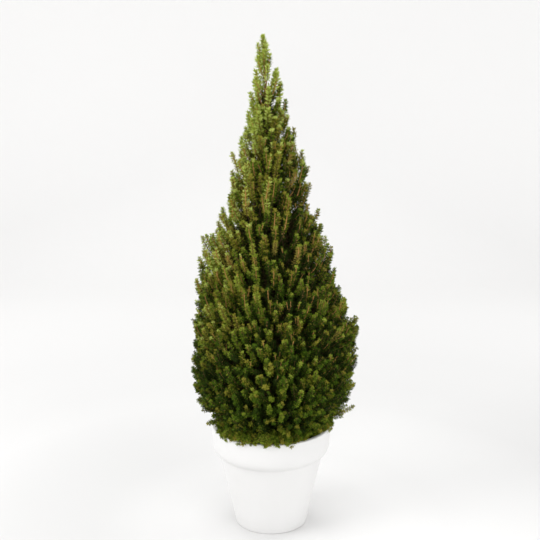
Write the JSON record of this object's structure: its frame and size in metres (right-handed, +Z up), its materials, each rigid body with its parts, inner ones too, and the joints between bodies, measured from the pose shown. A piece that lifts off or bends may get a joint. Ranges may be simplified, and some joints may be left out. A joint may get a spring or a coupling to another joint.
{
  "type": "potted dwarf spruce",
  "caption": "Narrow conical dwarf spruce with dense upright shoots to the ground, in a round white pot with a broad band under its rim.",
  "frame": {"origin": "middle of the pot's flat underside, which the plant stands on", "axes": "+Z up along the pot's axis and the tree; -Y is the side seen in the front view; +X to that view's right"},
  "size_m": [0.4049, 0.4135, 1.214],
  "materials": {
    "pot": "smooth white satin plastic",
    "soil": "dark crumbly potting compost",
    "bark": "rough brown bark",
    "foliage": "short dense green needles, paler at the shoot tips"
  },
  "bodies": {
    "root": {"pot": "pot", "soil": "soil", "trunk": "bark", "skirt_bough_1": "bark", "skirt_foliage_1": "foliage", "skirt_bough_2": "bark", "skirt_foliage_2": "foliage", "skirt_bough_3": "bark", "skirt_foliage_3": "foliage", "skirt_bough_4": "bark", "skirt_foliage_4": "foliage", "skirt_bough_5": "bark", "skirt_foliage_5": "foliage", "skirt_bough_6": "bark", "skirt_foliage_6": "foliage", "low_bough_1": "bark", "low_foliage_1": "foliage", "low_bough_2": "bark", "low_foliage_2": "foliage", "low_bough_3": "bark", "low_foliage_3": "foliage", "low_bough_4": "bark", "low_foliage_4": "foliage", "low_bough_5": "bark", "low_foliage_5": "foliage", "lower_middle_bough_1": "bark", "lower_middle_foliage_1": "foliage", "lower_middle_bough_2": "bark", "lower_middle_foliage_2": "foliage", "lower_middle_bough_3": "bark", "lower_middle_foliage_3": "foliage", "lower_middle_bough_4": "bark", "lower_middle_foliage_4": "foliage", "lower_middle_bough_5": "bark", "lower_middle_foliage_5": "foliage", "middle_bough_1": "bark", "middle_foliage_1": "foliage", "middle_bough_2": "bark", "middle_foliage_2": "foliage", "middle_bough_3": "bark", "middle_foliage_3": "foliage", "middle_bough_4": "bark", "middle_foliage_4": "foliage", "upper_middle_bough_1": "bark", "upper_middle_foliage_1": "foliage", "upper_middle_bough_2": "bark", "upper_middle_foliage_2": "foliage", "upper_middle_bough_3": "bark", "upper_middle_foliage_3": "foliage", "upper_middle_bough_4": "bark", "upper_middle_foliage_4": "foliage", "upper_foliage_1": "foliage", "upper_foliage_2": "foliage", "upper_foliage_3": "foliage", "upper_foliage_4": "foliage", "leader_foliage": "foliage"}
  },
  "joints": []
}
